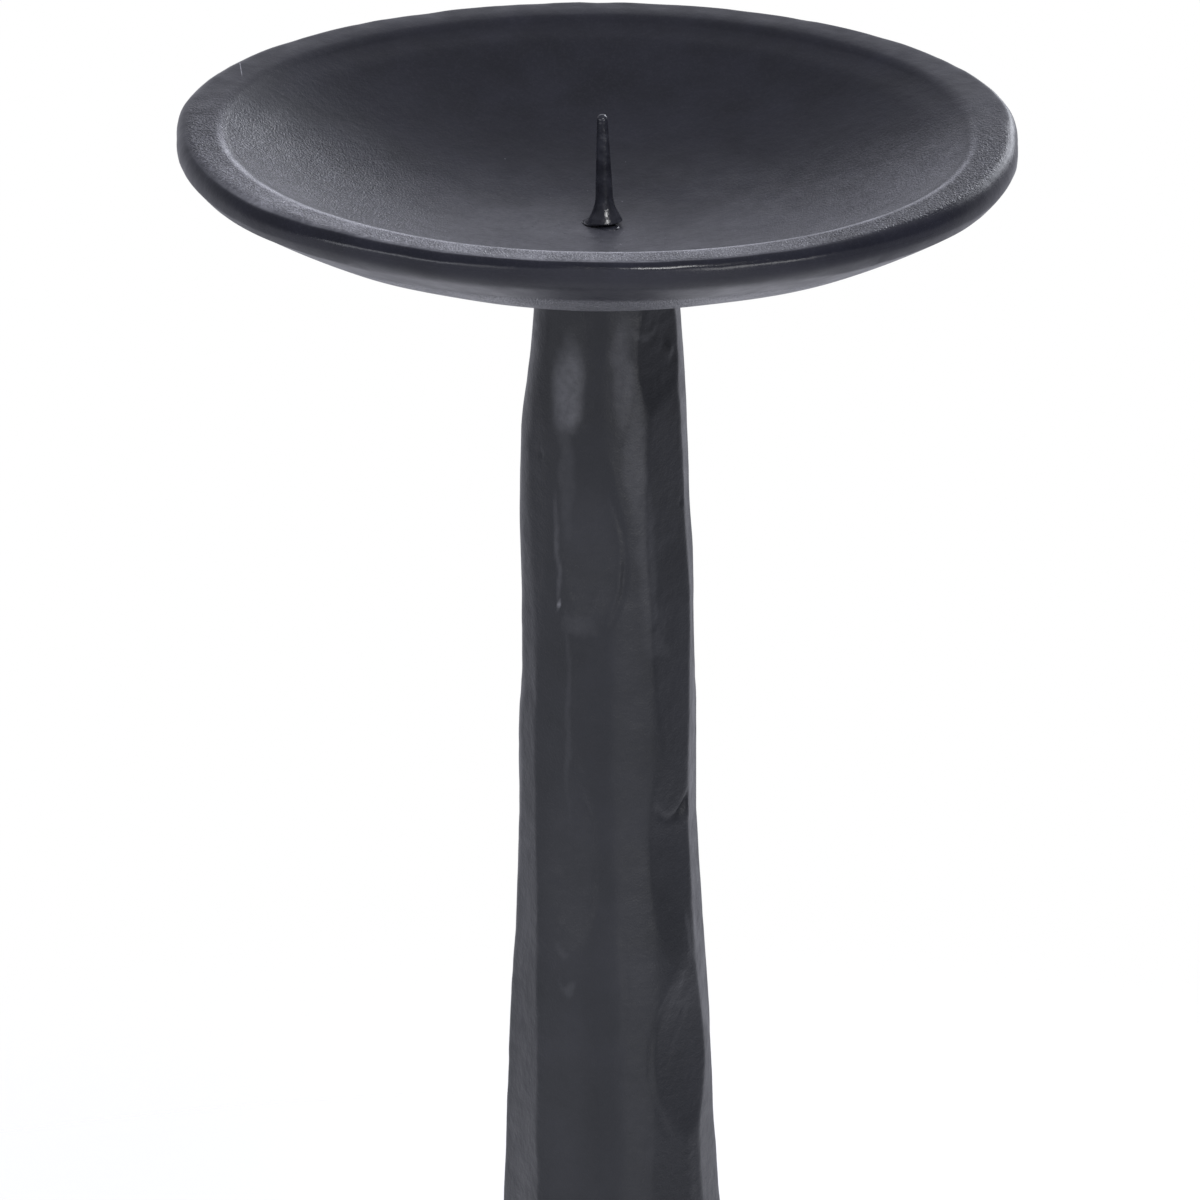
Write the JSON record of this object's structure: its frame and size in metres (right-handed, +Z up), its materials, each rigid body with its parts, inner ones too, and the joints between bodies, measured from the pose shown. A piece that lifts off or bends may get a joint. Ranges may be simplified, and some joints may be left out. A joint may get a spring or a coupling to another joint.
{
  "type": "candle holder",
  "caption": "Black pillar candle holder: a shallow round pan with a central spike on a tall hammered stem that widens to a round domed foot.",
  "frame": {"origin": "on the table, under the stem's axis, in the plane of the felt pads' undersides", "axes": "+Z up along the stem's axis, -Y towards the front as pictured, +X to the right"},
  "size_m": [0.127, 0.127, 0.3069],
  "materials": {
    "iron_black": "matte black powder coat with a fine grain over hammered cast iron",
    "spike_black": "semi-gloss black enamel",
    "zinc_steel": "zinc-plated steel",
    "felt_black": "pressed felt"
  },
  "bodies": {
    "root": {"spike": "spike_black", "pan": "iron_black", "stem": "iron_black", "top_plug": "zinc_steel", "tie_rod": "zinc_steel", "base": "iron_black", "base_washer": "zinc_steel", "lock_washer": "zinc_steel", "base_nut": "zinc_steel", "foot_pads": "felt_black"}
  },
  "joints": []
}
